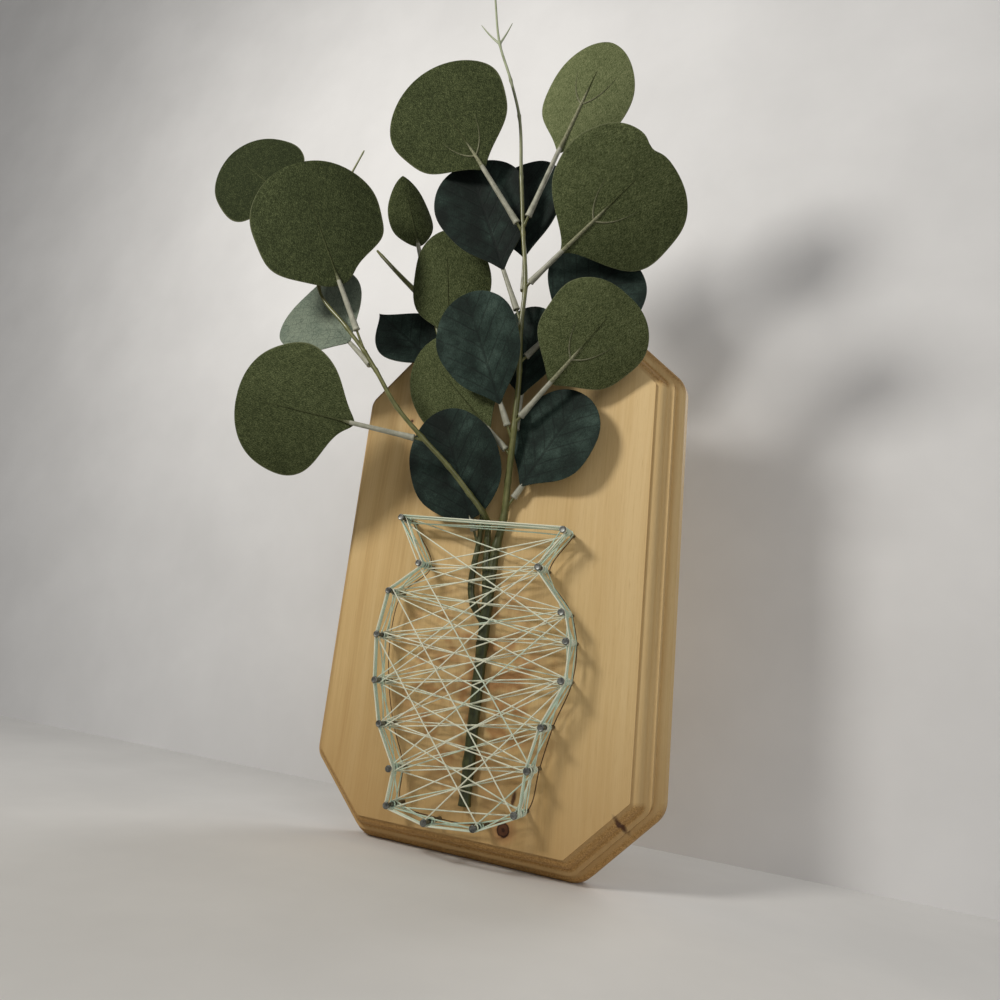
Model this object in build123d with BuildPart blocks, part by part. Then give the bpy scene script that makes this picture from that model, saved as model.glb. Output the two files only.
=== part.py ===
"""Hanging wall vase: a routed wood plaque with a vase drawn in thread round nails,
and a spray of silver-dollar eucalyptus standing in the pocket behind the thread.

Millimetres. +Z is up and the front faces -Y. The plaque's back lies in the plane y = 0,
and the origin is the middle notch of the sawtooth hanger, where the wall nail sits.
Places on the plaque are given from its middle, and "out" is the distance in front of its back.
"""
import os
from math import asin, atan2, cos, pi, radians, sin, sqrt

from build123d import *

os.makedirs("parts", exist_ok=True)

# Plaque
board_width = 139.7
board_height = 203.2
board_thickness = 15.9
corner_clip = 26.0
corner_round = 9.5
lip_height = 6.7
lip_round = 2.5
lip_flat = 0.7
edge_ledge = 0.8
cove_radius = 1.6
bead_radius = 3.2
face_step = 1.0

# Hanger on the back, and its brads
hook_drop = 14.0
hanger_width = 44.0
hanger_height = 6.5
hanger_sheet = 0.8
hanger_stand = 1.8
hanger_tab = 9.0
hanger_ramp = 2.0
tooth_pitch = 2.6
tooth_depth = 1.5
tooth_count = 9
brad_diameter = 1.2
brad_head = 2.6
brad_head_height = 0.5
brad_length = 8.0

# Nails of the vase outline
nail_diameter = 1.5
nail_bite = 7.0
nail_point = 2.0
nail_head = 2.5
nail_head_height = 0.8
nail_clear = 0.18

# Thread
thread_diameter = 0.6
thread_gap = 0.42
thread_ease = 0.03
pocket_clear = 0.65
climb_run = 12.0
climb_lead = 1.0

# Eucalyptus
stem_diameter = 3.3
prong_diameter = 1.0
prong_length = 4.0
socket_diameter = 2.6
rib_diameter = 1.1
rib_share = 0.45
blade_thickness = 0.5
tip_power = 0.5
node_swell = 0.2

# Worked out from the sizes above
middle = hook_drop - board_height / 2
thread_pitch = thread_diameter + thread_gap
wrap_radius = nail_diameter / 2 + thread_diameter / 2 + thread_ease
pocket_depth = stem_diameter + 2 * pocket_clear
pocket_middle = pocket_depth / 2
web_start = pocket_depth + thread_diameter / 2


def place(x, out, up):
    """A point given across and up from the plaque's middle and out from its back."""
    return Vector(x, -out, middle + up)


def ahead(x, out, up):
    """A point given across and up from the plaque's middle and out from its face."""
    return place(x, board_thickness + out, up)


# Vase outline: (across, up) of each nail, left rim down to the foot and up to the right rim
nail_places = [
    (-32.0, 18.0),
    (-21.5, 0.5),
    (-33.0, -10.5),
    (-35.5, -27.0),
    (-33.5, -43.5),
    (-29.0, -58.5),
    (-22.5, -73.0),
    (-21.5, -85.0),
    (-6.0, -88.0),
    (12.5, -86.5),
    (26.5, -80.0),
    (29.5, -66.0),
    (33.0, -52.0),
    (38.5, -36.5),
    (39.0, -23.5),
    (36.5, -14.0),
    (26.5, 1.0),
    (34.5, 14.5),
]


def left(count):
    """Number of a left-hand nail, counted down from the rim."""
    return count - 1


def right(count):
    """Number of a right-hand nail, counted down from the rim."""
    return len(nail_places) - count


# Thread routes: nail numbers in the order that the thread meets them, one level to a pass
whole_outline = list(range(len(nail_places)))
web_passes = [
    [left(1), right(2), left(2), right(3), left(3), right(4), left(4), right(5), left(5), right(6)]
    + [left(6), right(7), left(7), right(8)],
    [left(8), right(7), left(7), right(6), left(6), right(5), left(5), right(4), left(4)]
    + [right(3), left(3), right(2), left(2), right(1), left(1)],
    [right(1), left(3), right(2), left(4), right(3), left(5), right(4), left(6), right(5), left(7)]
    + [right(6), left(8), right(7), 9],
    [right(8), left(6), right(7), left(5), right(6), left(4), right(5), left(3), right(4), left(1)],
    [right(1), left(5), right(2), left(6), right(3), left(7), right(5), 8],
    [9, left(4), left(3), right(8), right(7), left(2), left(1)],
    whole_outline[1:] + [left(1)],
]
web_top = web_start + thread_pitch * (len(web_passes) - 1)
nail_proud = web_top + thread_diameter / 2 + nail_clear + nail_head_height

# Plaque: a clipped-corner board whose front edge is routed to a step, an ogee and a rounded lip
half_width = board_width / 2
half_height = board_height / 2
board_corners = [
    (half_width, -half_height + corner_clip),
    (half_width, half_height - corner_clip),
    (half_width - corner_clip, half_height),
    (corner_clip - half_width, half_height),
    (-half_width, half_height - corner_clip),
    (-half_width, -half_height + corner_clip),
    (corner_clip - half_width, -half_height),
    (half_width - corner_clip, -half_height),
]
board_plane = Plane(origin=(0, 0, middle), x_dir=(1, 0, 0), z_dir=(0, -1, 0))
edge_plane = Plane(origin=(0, 0, middle - half_height), x_dir=(0, 0, 1), z_dir=(1, 0, 0))
step_in = lip_round + lip_flat
cove_foot = step_in + edge_ledge
ogee_turn = cove_foot + cove_radius
bead_top = ogee_turn + bead_radius
bead_height = board_thickness - face_step
turn_height = bead_height - bead_radius
cove_height = turn_height - cove_radius
slant = cos(pi / 4)
bead_middle = (bead_top - bead_radius * slant, turn_height + bead_radius * slant)
cove_middle = (cove_foot + cove_radius * slant, turn_height - cove_radius * slant)
lip_middle = (lip_round * (1 - slant), lip_height - lip_round * (1 - slant))

with BuildPart() as nails:
    head_start = board_thickness + nail_proud - nail_head_height
    point_end = board_thickness - nail_bite + nail_point
    with BuildSketch(board_plane.offset(point_end)):
        with Locations(*nail_places):
            Circle(nail_diameter / 2)
    extrude(amount=head_start - point_end)
    with BuildSketch(board_plane.offset(head_start)):
        with Locations(*nail_places):
            Circle(nail_head / 2)
    extrude(amount=nail_head_height)
    for across, up in nail_places:
        with Locations(Plane(place(across, point_end, up), x_dir=(1, 0, 0), z_dir=(0, 1, 0))):
            Cone(nail_diameter / 2, 0.1, nail_point, align=(Align.CENTER, Align.CENTER, Align.MIN))
nails.part.label = "nails"
export_step(nails.part, "parts/nails.step")

with BuildPart() as brads:
    brad_places = [
        Vector(side * (hanger_width - hanger_tab) / 2, hanger_sheet, hanger_height / 2 - tooth_depth)
        for side in (-1, 1)
    ]
    for spot in brad_places:
        with Locations(Plane(spot, x_dir=(1, 0, 0), z_dir=(0, -1, 0))):
            Cylinder(brad_diameter / 2, brad_length - 2, align=(Align.CENTER, Align.CENTER, Align.MIN))
        with Locations(Plane(spot - Vector(0, brad_length - 2, 0), x_dir=(1, 0, 0), z_dir=(0, -1, 0))):
            Cone(brad_diameter / 2, 0.1, 2, align=(Align.CENTER, Align.CENTER, Align.MIN))
        with Locations(Plane(spot, x_dir=(1, 0, 0), z_dir=(0, 1, 0))):
            Cylinder(brad_head / 2, brad_head_height, align=(Align.CENTER, Align.CENTER, Align.MIN))
brads.part.label = "hanger_brads"
export_step(brads.part, "parts/hanger_brads.step")

with BuildPart() as plaque:
    with BuildSketch(board_plane) as outline:
        with BuildLine():
            Polyline(*board_corners, close=True)
        make_face()
        fillet(outline.vertices(), corner_round)
    extrude(amount=board_thickness)
    with BuildLine(board_plane) as rim_path:
        FilletPolyline(
            (0, -half_height),
            *board_corners[7:],
            *board_corners[:7],
            close=True,
            radius=[0] + [corner_round] * len(board_corners),
        )
    with BuildSketch(edge_plane):
        with BuildLine():
            Polyline(
                (0, lip_height - lip_round),
                (-5, lip_height - lip_round),
                (-5, board_thickness + 5),
                (bead_top, board_thickness + 5),
                (bead_top, bead_height),
            )
            ThreePointArc((bead_top, bead_height), bead_middle, (ogee_turn, turn_height))
            ThreePointArc((ogee_turn, turn_height), cove_middle, (cove_foot, cove_height))
            Polyline(
                (cove_foot, cove_height),
                (step_in, cove_height),
                (step_in, lip_height),
                (lip_round, lip_height),
            )
            ThreePointArc((lip_round, lip_height), lip_middle, (0, lip_height - lip_round))
        make_face()
    sweep(path=rim_path.wires()[0], mode=Mode.SUBTRACT)
    add(nails.part, mode=Mode.SUBTRACT)
    add(brads.part, mode=Mode.SUBTRACT)
plaque.part.label = "plaque"
export_step(plaque.part, "parts/plaque.step")

with BuildPart() as hanger:
    hanger_half = hanger_width / 2
    ramp_start = hanger_half - hanger_tab
    ramp_end = ramp_start - hanger_ramp
    strip_foot = -tooth_depth
    with BuildSketch(Plane.XY.offset(strip_foot)):
        with BuildLine():
            Polyline(
                (-hanger_half, 0),
                (-ramp_start, 0),
                (-ramp_end, hanger_stand),
                (ramp_end, hanger_stand),
                (ramp_start, 0),
                (hanger_half, 0),
                (hanger_half, hanger_sheet),
                (ramp_start, hanger_sheet),
                (ramp_end, hanger_stand + hanger_sheet),
                (-ramp_end, hanger_stand + hanger_sheet),
                (-ramp_start, hanger_sheet),
                (-hanger_half, hanger_sheet),
                close=True,
            )
        make_face()
    extrude(amount=hanger_height)
    with BuildSketch(Plane.XZ.offset(-hanger_stand - hanger_sheet - 1)):
        with GridLocations(tooth_pitch, 1, tooth_count, 1):
            Polygon((-tooth_pitch / 2, strip_foot), (tooth_pitch / 2, strip_foot), (0, 0), align=None)
    extrude(amount=hanger_sheet + 2, mode=Mode.SUBTRACT)
    add(brads.part, mode=Mode.SUBTRACT)
hanger.part.label = "sawtooth_hanger"
export_step(hanger.part, "parts/sawtooth_hanger.step")

# Thread: a run leaves each nail along the tangent that the turning senses give


def heading(start, end):
    """Direction in radians from one (across, up) point to another."""
    return atan2(end[1] - start[1], end[0] - start[0])


def spaced(start, end):
    """Distance between two (across, up) points."""
    return sqrt((end[0] - start[0]) ** 2 + (end[1] - start[1]) ** 2)


def turn_sense(before, at, after):
    """+1 where the route turns left at a nail, -1 where it turns right."""
    into = (at[0] - before[0], at[1] - before[1])
    away = (after[0] - at[0], after[1] - at[1])
    return 1 if into[0] * away[1] - into[1] * away[0] > 0 else -1


def lay_thread(visits, levels):
    """Draw the thread's centre line: straight runs between nails and arcs round them.

    visits is a list of nail numbers and levels gives each visit's height off the board's face.
    """
    spots = [nail_places[number] for number in visits]
    senses = [turn_sense(a, b, c) for a, b, c in zip(spots, spots[1:], spots[2:])]
    senses = [senses[0]] + senses + [senses[-1]]
    bearings = []
    for a, b, sense_a, sense_b in zip(spots, spots[1:], senses, senses[1:]):
        bearings.append(heading(a, b) + asin((sense_a - sense_b) * wrap_radius / spaced(a, b)))
    arrive = [bearings[0] - senses[0] * pi] + bearings
    leave = bearings + [bearings[-1] + senses[-1] * pi]

    def beside(number, bearing, level):
        """The point where a run along a bearing touches a nail's wrap."""
        side = bearing - senses[number] * pi / 2
        across, up = spots[number]
        return place(
            across + wrap_radius * cos(side), board_thickness + level, up + wrap_radius * sin(side)
        )

    for number, level in enumerate(levels):
        turn = (leave[number] - arrive[number]) * senses[number] % (2 * pi)
        first = beside(number, arrive[number], level)
        half = beside(number, arrive[number] + senses[number] * turn / 2, level)
        last = beside(number, leave[number], level)
        if turn > 0.02:
            ThreePointArc(first, half, last)
        if number + 1 < len(spots):
            rise = levels[number + 1] - level
            target = beside(number + 1, arrive[number + 1], levels[number + 1])
            if rise == 0:
                Line(last, target)
            else:
                lift_thread(last, target, rise)


def lift_thread(start, end, rise):
    """A run that changes height soon after its nail by two equal arcs."""
    flat = (end - start) - Vector(0, -rise, 0)
    along = flat.normalized()
    front = Vector(0, -1, 0)
    lead = climb_lead
    radius = (climb_run**2 / 4 + rise**2 / 4) / rise
    swing = asin(climb_run / 2 / radius) / 2
    reach = along * (radius * sin(swing)) + front * (radius * (1 - cos(swing)))
    foot = start + along * lead
    halfway = foot + along * (climb_run / 2) + front * (rise / 2)
    top = foot + along * climb_run + front * rise
    Line(start, foot)
    ThreePointArc(foot, foot + reach, halfway)
    ThreePointArc(halfway, top - reach, top)
    Line(top, end)


def least_gap(wire):
    """Least clear space between stretches of one thread that are not neighbours."""
    steps = int(wire.length / 0.45)
    points = [tuple(wire.position_at(i / steps)) for i in range(steps + 1)]
    skip = int(2 * thread_diameter / 0.45) + 1
    cells = {}
    for i, point in enumerate(points):
        cells.setdefault(tuple(int(c // 2) for c in point), []).append(i)
    least = 99.0
    for (cx, cy, cz), members in cells.items():
        near = [
            j
            for dx in (-1, 0, 1)
            for dy in (-1, 0, 1)
            for dz in (-1, 0, 1)
            for j in cells.get((cx + dx, cy + dy, cz + dz), [])
        ]
        for i in members:
            for j in near:
                if j - i > skip:
                    least = min(least, sqrt(sum((a - b) ** 2 for a, b in zip(points[i], points[j]))))
    return least - thread_diameter


outline_heights = [web_start - thread_pitch] * len(whole_outline)
web_visits = [number for one_pass in web_passes for number in one_pass]
web_heights = [
    web_start + thread_pitch * turn
    for turn, one_pass in enumerate(web_passes)
    for number in one_pass
]

for name, visits, heights in (
    ("outline_thread", whole_outline, outline_heights),
    ("web_thread", web_visits, web_heights),
):
    with BuildPart() as thread:
        with BuildLine() as route:
            lay_thread(visits, heights)
        centre_line = route.wires()[0]
        with BuildSketch(Plane(centre_line @ 0, z_dir=centre_line % 0)):
            Circle(thread_diameter / 2)
        sweep(path=centre_line)
    thread.part.label = name
    export_step(thread.part, "parts/" + name + ".step")
    print(name, "length", round(centre_line.length), "least gap", round(least_gap(centre_line), 2))
    section = pi * thread_diameter**2 / 4
    fill = thread.part.volume / (section * centre_line.length)
    print(name, "volume over section times length", round(fill, 4))

# Spray: points along each branch as (across, out from the face, up, radius), foot first
branches = {
    "main": [
        (4.0, pocket_middle, -82.0, stem_diameter / 2),
        (4.0, pocket_middle, -40.0, stem_diameter / 2),
        (4.3, pocket_middle, -12.0, 1.6),
        (5.5, pocket_middle, 10.0, 1.5),
        (7.5, 3.1, 20.0, 1.4),
        (9.0, 6.1, 33.5, 1.25),
        (11.0, 10.1, 53.0, 1.1),
        (12.0, 13.1, 75.0, 1.0),
        (12.0, 16.1, 92.0, 0.95),
        (13.0, 18.1, 107.0, 0.9),
        (11.5, 22.1, 128.0, 0.8),
        (10.0, 26.1, 150.0, 0.7),
        (8.0, 30.1, 175.0, 0.6),
        (3.5, 32.1, 191.0, 0.55),
        (-2.5, 34.1, 208.5, 0.5),
        (-6.5, 36.1, 232.0, 0.4),
    ],
    "left": [
        (4.1, pocket_middle, -16.0, 1.0),
        (2.0, pocket_middle, 2.0, 1.15),
        (1.4, pocket_middle, 12.0, 1.1),
        (1.2, 3.3, 18.6, 1.05),
        (0.8, 8.1, 21.5, 1.05),
        (-3.2, 12.1, 27.0, 1.0),
        (-11.0, 17.1, 36.5, 0.95),
        (-20.0, 23.6, 46.0, 0.9),
        (-29.5, 29.1, 56.5, 0.85),
        (-38.0, 34.1, 70.0, 0.8),
        (-43.0, 36.1, 77.0, 0.8),
        (-50.5, 39.1, 86.0, 0.75),
        (-65.5, 42.1, 104.0, 0.7),
        (-64.5, 44.1, 124.0, 0.6),
        (-60.0, 44.1, 146.0, 0.5),
        (-53.0, 44.1, 162.5, 0.3),
    ],
    "middle": [
        (4.0, pocket_middle, -20.0, 0.9),
        (-1.2, pocket_middle, -13.0, 1.0),
        (-1.9, pocket_middle, 16.0, 1.0),
        (-2.0, 3.7, 39.0, 0.95),
        (-11.0, 5.1, 59.0, 0.9),
        (-23.0, 7.1, 81.0, 0.8),
        (-32.0, 11.1, 108.0, 0.7),
        (-35.5, 13.1, 119.0, 0.55),
    ],
}

# Bare prongs that carry no leaf: branch, height of the foot, tip as (across, out, up), foot and tip radius
bare_prongs = [
    ("main", 208.5, (1.3, 32.6, 219.0), 0.5, 0.2),
    ("main", 208.5, (-11.0, 36.1, 218.5), 0.5, 0.2),
    ("middle", 108.0, (-60.5, 16.1, 135.5), 0.65, 0.5),
]

# Leaves: branch, height of the foot on it, clock angle from upright, lean towards the front, roll about
# the midrib, stalk, blade length and width, cup radius, +1 where the pale underside faces out, and
# how far along the blade is widest
leaves = [
    ("left", 127, -52, 12, 10, 26, 38, 44, 60, 1, 0.52),
    ("left", 77, -21, 19, 26, 28, 52, 53, 70, 1, 0.58),
    ("left", 69, -48, -2, 6, 21, 38, 40, 60, -1, 0.55),
    ("left", 45, -81, 22, -11, 28, 48, 52, 70, 1, 0.58),
    ("middle", 78, -52, 3, 28, 10.5, 37, 30, 40, -1, 0.42),
    ("middle", 119, -14, 13, 40, 16, 33, 20, 18, 1, 0.5),
    ("middle", 78, -2, 15, 5, 17, 43, 36, 50, 1, 0.5),
    ("main", 128, -32, 24, -2, 29, 45, 46, 70, 1, 0.6),
    ("main", 93, -21, 9, 15, 23, 48, 37, 60, -1, 0.6),
    ("main", 98, -6, -5, 0, 24, 46, 34, 60, -1, 0.58),
    ("main", 130, 25, 7, 8, 31, 45, 35, 60, 1, 0.54),
    ("main", 107, 57, 14, 32, 18, 48, 50, 80, 1, 0.58),
    ("main", 78, 41, -7, 20, 20, 37, 40, 60, -1, 0.55),
    ("main", 55, 47, 12, 32, 20, 41, 40, 80, 1, 0.56),
    ("main", 48, -17, 20, -5, 15, 43, 34, 60, -1, 0.58),
    ("main", 43, -43, 9, -10, 14, 46, 41, 60, 1, 0.56),
    ("middle", 8, -18, 11, 0, 12, 44, 38, 90, -1, 0.52),
    ("main", 23, 34, 2, -6, 11, 41, 35, 120, -1, 0.56),
    ("main", 38, 4, 1.5, 0, 29, 36, 26, 80, -1, 0.55),
]


def on_branch(name, up):
    """Point, radius and direction of a branch at a height above the plaque's middle."""
    points = branches[name]
    for below, above in zip(points, points[1:]):
        if below[2] <= up <= above[2]:
            share = (up - below[2]) / (above[2] - below[2])
            spot = [a + (b - a) * share for a, b in zip(below, above)]
            run = ahead(*above[:3]) - ahead(*below[:3])
            return ahead(*spot[:3]), spot[3], run.normalized()


def leaf_axes(clock, lean, roll):
    """Direction of a leaf's midrib, and of the face that it shows to the front."""
    tip = Vector(
        cos(radians(lean)) * sin(radians(clock)),
        -sin(radians(lean)),
        cos(radians(lean)) * cos(radians(clock)),
    )
    front = Vector(0, -1, 0)
    face = (front - tip * front.dot(tip)).normalized()
    return tip, face.rotate(Axis((0, 0, 0), tip), roll)


def fullness(share, widest):
    """Half-width of a leaf at a share of its length, as a share of its greatest."""
    foot_power = tip_power * widest / (1 - widest)
    greatest = widest**foot_power * (1 - widest) ** tip_power
    return share**foot_power * (1 - share) ** tip_power / greatest


def socket_start(name, up, tip):
    """How far up the stalk's line the socket's end clears its branch."""
    foot, radius, run = on_branch(name, up)
    if up == branches[name][-1][2]:
        return radius + node_swell + 0.2
    crossing = abs(run.dot(tip))
    return (radius + node_swell + socket_diameter / 2 * crossing) / sqrt(1 - crossing**2) + 0.2


# Spray pieces: each branch with its prongs, then each leaf's stalk and blade


def grow(points):
    """Tapered runs from point to point with a small swelling at each node."""
    for below, above in zip(points, points[1:]):
        end = ahead(*above[:3])
        taper(ahead(*below[:3]), end, below[3], above[3])
        with Locations(end):
            Sphere(above[3] + node_swell)


def taper(start, end, foot_radius, tip_radius):
    """A straight round run whose radius changes evenly."""
    with BuildSketch(Plane(start, z_dir=end - start)) as foot_ring:
        Circle(foot_radius)
    with BuildSketch(Plane(end, z_dir=end - start)) as tip_ring:
        Circle(tip_radius)
    loft(sections=[foot_ring.sketch, tip_ring.sketch])


stems = {}
for name, points in branches.items():
    with BuildPart() as stem:
        grow(points)
        for branch, up, prong_tip, foot_radius, tip_radius in bare_prongs:
            if branch == name:
                taper(on_branch(name, up)[0], ahead(*prong_tip), foot_radius, tip_radius)
        for branch, up, clock, lean, roll, *blade in leaves:
            if branch == name:
                foot, radius, run = on_branch(name, up)
                tip, face = leaf_axes(clock, lean, roll)
                reach = socket_start(name, up, tip) + prong_length
                taper(foot, foot + tip * reach, prong_diameter / 2, prong_diameter / 2)
        if name != "main":
            add(stems["main"].part, mode=Mode.SUBTRACT)
    stems[name] = stem
    stem.part.label = name + "_stem"
    export_step(stem.part, "parts/" + name + "_stem.step")

for number, row in enumerate(leaves, 1):
    branch, up, clock, lean, roll, stalk, length, width, cup, under, widest = row
    foot, radius, run = on_branch(branch, up)
    tip, face = leaf_axes(clock, lean, roll)
    near = socket_start(branch, up, tip)
    rib_end = stalk + length * rib_share

    with BuildPart() as leaf_stalk:
        with BuildSketch(Plane(foot, x_dir=tip, z_dir=face)):
            with BuildLine():
                Polyline(
                    (near, prong_diameter / 2),
                    (near, socket_diameter / 2),
                    (near + prong_length, socket_diameter / 2 * 0.9),
                    (stalk, rib_diameter / 2),
                    (rib_end, rib_diameter / 2),
                    (rib_end, 0),
                    (near + prong_length, 0),
                    (near + prong_length, prong_diameter / 2),
                    close=True,
                )
            make_face()
        revolve(axis=Axis(foot, tip))
    leaf_stalk.part.label = f"leaf_stalk_{number:02d}"
    export_step(leaf_stalk.part, f"parts/leaf_stalk_{number:02d}.step")

    base = foot + tip * stalk - face * (under * (rib_diameter + blade_thickness) / 2)
    blade_plane = Plane(base, x_dir=tip, z_dir=face)
    with BuildPart() as leaf_blade:
        with BuildSketch(blade_plane):
            with BuildLine():
                for side in (-1, 1):
                    Spline(
                        *[
                            (length * share, side * width / 2 * fullness(share, widest))
                            for share in (0, 0.04, 0.14, 0.3, 0.46, 0.62, 0.78, 0.9, 0.97, 1)
                        ]
                    )
            make_face()
        extrude(amount=cup / 2, both=True)
        with Locations(blade_plane.offset(-under * cup)):
            Cylinder(cup + blade_thickness / 2, 3 * length, rotation=(0, 90, 0), mode=Mode.INTERSECT)
            Cylinder(cup - blade_thickness / 2, 3 * length, rotation=(0, 90, 0), mode=Mode.SUBTRACT)
    leaf_blade.part.label = f"leaf_blade_{number:02d}"
    export_step(leaf_blade.part, f"parts/leaf_blade_{number:02d}.step")
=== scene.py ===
import bpy
import numpy as np
from mathutils import Matrix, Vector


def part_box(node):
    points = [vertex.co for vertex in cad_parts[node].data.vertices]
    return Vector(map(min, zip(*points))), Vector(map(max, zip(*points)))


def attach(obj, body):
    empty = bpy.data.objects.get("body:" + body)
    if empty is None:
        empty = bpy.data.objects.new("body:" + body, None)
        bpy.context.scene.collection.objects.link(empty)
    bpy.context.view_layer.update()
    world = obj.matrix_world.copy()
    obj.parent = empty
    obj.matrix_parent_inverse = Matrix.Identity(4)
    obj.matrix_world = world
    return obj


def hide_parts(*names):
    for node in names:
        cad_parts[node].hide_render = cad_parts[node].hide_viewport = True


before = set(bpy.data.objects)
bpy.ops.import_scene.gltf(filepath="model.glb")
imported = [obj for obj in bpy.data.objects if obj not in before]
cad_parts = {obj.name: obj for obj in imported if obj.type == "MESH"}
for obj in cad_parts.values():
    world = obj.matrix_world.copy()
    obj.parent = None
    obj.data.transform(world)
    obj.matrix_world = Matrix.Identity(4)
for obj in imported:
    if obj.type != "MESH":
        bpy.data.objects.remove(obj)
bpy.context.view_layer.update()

mm = 0.001
fullTurn = 2 * np.pi
plaqueLow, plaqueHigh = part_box("plaque")
middleZ = (plaqueLow.z + plaqueHigh.z) / 2   # height of the plaque's middle
faceOut = -plaqueLow.y / mm                  # front face ahead of the back, mm
front = np.array([0.0, -1.0, 0.0])


def place(spots):
    # (across, out, up) in mm from the plaque's middle and its face, to metres in the frame
    spots = np.asarray(spots, float)
    return np.stack([spots[..., 0], -faceOut - spots[..., 1], spots[..., 2]], -1) * mm + [0, 0, middleZ]


def unit(vectors):
    return vectors / np.linalg.norm(vectors, axis=-1, keepdims=True)


def ringAngles(sides):
    return np.arange(sides) * fullTurn / sides


def lengthAlong(path):
    return np.append(0, np.cumsum(np.linalg.norm(np.diff(path, axis=0), axis=1)))


# mesh making

def gridFaces(rows, cols, wrap):
    # quads of a rows x cols grid, with the (row, column) of each corner; wrap closes the columns
    i, j = np.meshgrid(np.arange(rows - 1), np.arange(cols if wrap else cols - 1), indexing="ij")
    nextJ = (j + 1) % cols
    faces = np.stack([i * cols + j, i * cols + nextJ, (i + 1) * cols + nextJ, (i + 1) * cols + j], -1)
    corners = np.stack([np.stack(c, -1) for c in ((i, j), (i, j + 1), (i + 1, j + 1), (i + 1, j))], -2)
    return faces.reshape(-1, 4), corners.reshape(-1, 4, 2)


def endFans(rows, sides):
    # triangles that close a tube's ends on the two points that follow its rings
    last, j = rows * sides, np.arange(sides)
    nextJ = (j + 1) % sides
    start = np.stack([np.full(sides, last), nextJ, j], -1)
    finish = np.stack([np.full(sides, last + 1), last - sides + j, last - sides + nextJ], -1)
    return list(start) + list(finish)


def addPiece(name, body, points, faces, materials, uv, floats=None, kinds=None):
    # one mesh object at the origin; uv is per face corner, floats are per point, kinds per face
    mesh = bpy.data.meshes.new(name)
    mesh.from_pydata(points.reshape(-1, 3).tolist(), [], [f.tolist() for f in faces])
    for material in materials:
        mesh.materials.append(material)
    mesh.polygons.foreach_set("use_smooth", np.ones(len(faces), bool))
    if kinds is not None:
        mesh.polygons.foreach_set("material_index", np.asarray(kinds, np.int32))
    mesh.uv_layers.new(name="UVMap").data.foreach_set("uv", np.asarray(uv, np.float32).ravel())
    for key, values in (floats or {}).items():
        layer = mesh.attributes.new(key, "FLOAT", "POINT")
        layer.data.foreach_set("value", np.asarray(values, np.float32).ravel())
    mesh.update()
    piece = bpy.data.objects.new(name, mesh)
    bpy.context.scene.collection.objects.link(piece)
    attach(piece, body)
    return piece


def smoothPath(knots, step):
    # cubic through the knots: Hermite spans whose tangents are the chord-weighted mean of the two chords
    knots = np.asarray(knots, float)
    chords = np.linalg.norm(np.diff(knots, axis=0), axis=1)
    slopes = np.diff(knots, axis=0) / chords[:, None]
    tangents = np.empty_like(knots)
    tangents[0], tangents[-1] = slopes[0], slopes[-1]
    weight = (chords[1:] / (chords[:-1] + chords[1:]))[:, None]
    tangents[1:-1] = slopes[:-1] * weight + slopes[1:] * (1 - weight)
    counts = np.maximum(3, (chords / step).astype(int))
    span = np.repeat(np.arange(len(chords)), counts)
    t = np.concatenate([np.arange(c) / c for c in counts])[:, None]
    h = chords[span][:, None]
    path = ((2 * t**3 - 3 * t**2 + 1) * knots[span] + (t**3 - 2 * t**2 + t) * h * tangents[span]
            + (3 * t**2 - 2 * t**3) * knots[span + 1] + (t**3 - t**2) * h * tangents[span + 1])
    along = span + t[:, 0]
    return np.vstack([path, knots[-1]]), np.append(along, len(chords))


def tube(path, radii, sides):
    # rings square to the path: centre + radius * (cos a * side + sin a * upper), ends closed by fans
    tangent = unit(np.gradient(path, axis=0))
    side = unit(np.cross(tangent, front))
    upper = np.cross(tangent, side)
    angle = ringAngles(sides)[:, None]
    spokes = np.cos(angle) * side[:, None] + np.sin(angle) * upper[:, None]
    reach = np.broadcast_to(np.asarray(radii, float).reshape(len(path), -1), (len(path), sides))
    rings = path[:, None] + reach[..., None] * spokes
    points = np.vstack([rings.reshape(-1, 3), path[:1], path[-1:]])
    faces, corners = gridFaces(len(path), sides, True)
    gone = lengthAlong(path)
    uv = np.stack([corners[..., 1] / sides, gone[corners[..., 0]]], -1).reshape(-1, 2)
    fanUv = np.repeat([[0.5, 0.0], [0.5, gone[-1]]], 3 * sides, axis=0)
    return points, list(faces) + endFans(len(path), sides), np.concatenate([uv, fanUv])


def joinParts(parts):
    # several (points, faces, uv) as one mesh
    points, faces, uv, start = [], [], [], 0
    for partPoints, partFaces, partUv in parts:
        points.append(partPoints)
        faces += [f + start for f in partFaces]
        uv.append(partUv)
        start += len(partPoints)
    return np.vstack(points), faces, np.concatenate(uv)


# materials

def startMaterial(name, **sockets):
    material = bpy.data.materials.new(name)
    material.use_nodes = True
    shader = material.node_tree.nodes["Principled BSDF"]
    for socket, value in sockets.items():
        shader.inputs[socket.replace("_", " ")].default_value = value
    return material, material.node_tree, shader


def put(tree, kind, inputs=None, **settings):
    made = tree.nodes.new("ShaderNode" + kind)
    for key, value in settings.items():
        setattr(made, key, value)
    for key, value in (inputs or {}).items():
        value = getattr(value, "socket", value)
        if isinstance(value, bpy.types.NodeSocket):
            tree.links.new(value, made.inputs[key])
        else:
            made.inputs[key].default_value = value
    return made


def field(tree, kind, inputs=None, out=0, **settings):
    return Field(tree, put(tree, kind, inputs, **settings).outputs[out])


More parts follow.
